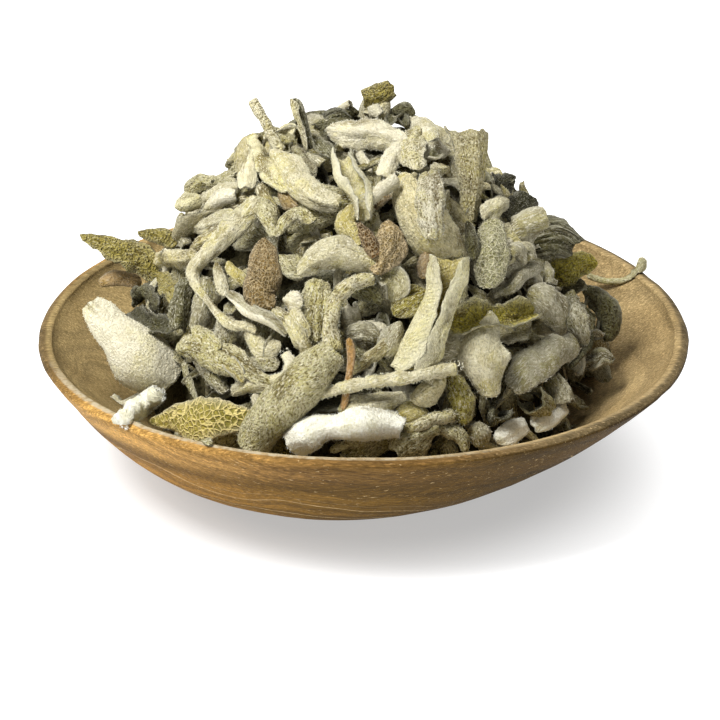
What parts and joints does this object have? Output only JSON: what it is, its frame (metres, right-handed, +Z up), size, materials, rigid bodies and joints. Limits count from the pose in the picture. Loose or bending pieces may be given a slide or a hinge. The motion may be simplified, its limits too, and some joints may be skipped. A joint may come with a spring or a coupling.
{
  "type": "bowl of dried sage",
  "caption": "Shallow carved wooden bowl heaped with loose dried sage leaves, leaf rolls and stalks.",
  "frame": {"origin": "middle of the bowl's flat foot", "axes": "+Z up, +X to the right and -Y to the front as the heap is seen from its front"},
  "size_m": [0.1774, 0.1754, 0.1073],
  "materials": {
    "bowl_wood": "satin",
    "pale_leaf": "matte",
    "grey_felt_leaf": "matte",
    "white_wool_leaf": "matte",
    "cream_leaf": "matte",
    "yellow_net_leaf": "matte",
    "olive_leaf": "matte",
    "brown_leaf": "matte",
    "dark_leaf": "matte",
    "tan_strip": "matte"
  },
  "bodies": {
    "root": {"wooden_bowl": "bowl_wood", "packed_leaves": "grey_felt_leaf", "front_roll_leaf": "grey_felt_leaf", "white_tube_leaf": "white_wool_leaf", "forked_leaf": "grey_felt_leaf", "woolly_twig": "pale_leaf", "paper_strip": "tan_strip", "yellow_net_leaf": "yellow_net_leaf", "cone_leaf": "pale_leaf", "fork_leaf": "grey_felt_leaf", "brown_leaf": "brown_leaf", "bent_leaf": "pale_leaf", "sibling_leaf": "grey_felt_leaf", "upright_roll_leaf": "grey_felt_leaf", "grey_upright_leaf": "grey_felt_leaf", "split_leaf": "cream_leaf", "pointed_olive_leaf": "olive_leaf", "back_olive_leaf": "olive_leaf", "flat_tan_strip": "tan_strip", "dark_left_leaf": "dark_leaf", "yellow_lobe_leaf": "cream_leaf", "grey_back_lobe": "grey_felt_leaf", "left_spike": "grey_felt_leaf", "middle_spike": "grey_felt_leaf", "arched_top_leaf": "white_wool_leaf", "ridged_twin_leaf": "cream_leaf", "open_top_tube": "pale_leaf", "crest_leaf": "white_wool_leaf", "top_olive_leaf": "olive_leaf", "right_crest_leaf": "pale_leaf", "speckled_leaf": "cream_leaf", "white_top_lobe": "white_wool_leaf", "yellow_trough_leaf": "cream_leaf", "brown_bud": "brown_leaf", "middle_leaf": "pale_leaf", "hooded_leaf": "grey_felt_leaf", "crinkled_leaf": "grey_felt_leaf", "broad_pale_leaf": "pale_leaf", "heart_leaf": "grey_felt_leaf", "scoop_leaf": "cream_leaf", "centre_strap_leaf": "cream_leaf", "trumpet_leaf": "cream_leaf", "cream_leaf": "cream_leaf", "tall_tube_leaf": "cream_leaf", "white_roll_leaf": "white_wool_leaf", "dark_ragged_leaf": "olive_leaf", "grey_net_leaf": "grey_felt_leaf", "brush_leaf": "grey_felt_leaf", "right_olive_leaf": "olive_leaf", "bare_stem": "grey_felt_leaf", "grey_lobe_leaf": "grey_felt_leaf", "speckled_right_leaf": "grey_felt_leaf", "wavy_leaf": "olive_leaf", "spade_leaf": "pale_leaf", "grey_slab_leaf": "grey_felt_leaf", "right_crescent_leaf": "dark_leaf", "folded_right_leaf": "grey_felt_leaf", "ring_roll_leaf": "grey_felt_leaf", "right_chip": "white_wool_leaf", "left_chip": "white_wool_leaf"}
  },
  "joints": []
}
